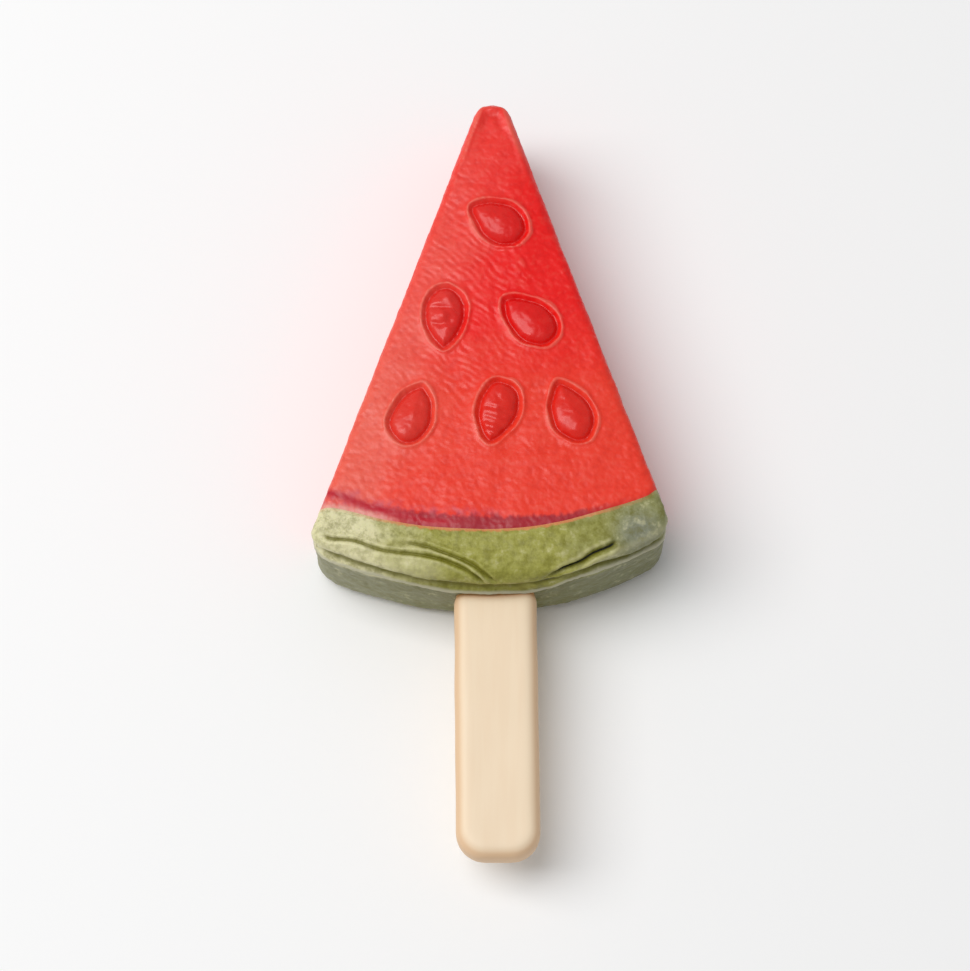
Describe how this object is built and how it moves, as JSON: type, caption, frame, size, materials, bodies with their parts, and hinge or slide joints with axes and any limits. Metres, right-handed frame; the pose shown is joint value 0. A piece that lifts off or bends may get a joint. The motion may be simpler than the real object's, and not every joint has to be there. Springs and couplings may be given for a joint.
{
  "type": "ice lolly",
  "caption": "Ice lolly moulded as a watermelon slice, red flesh with seeds in relief and a green rind, on a thick pale stick, lying flat.",
  "frame": {"origin": "middle of the outline seen from above, on the plane that the back lies on", "axes": "+Y from the stick to the pointed tip, +Z out of the front face, +X to the right seen from the front"},
  "size_m": [0.0675, 0.151, 0.0243],
  "materials": {
    "flesh": "frozen fruit juice, satin, finely grained from the mould",
    "rind": "frozen juice, olive to pale green, satin, wrinkled",
    "stick": "pale smooth sanded wood with rounded edges"
  },
  "bodies": {
    "root": {"flesh": "flesh", "rind": "rind", "stick": "stick"}
  },
  "joints": []
}
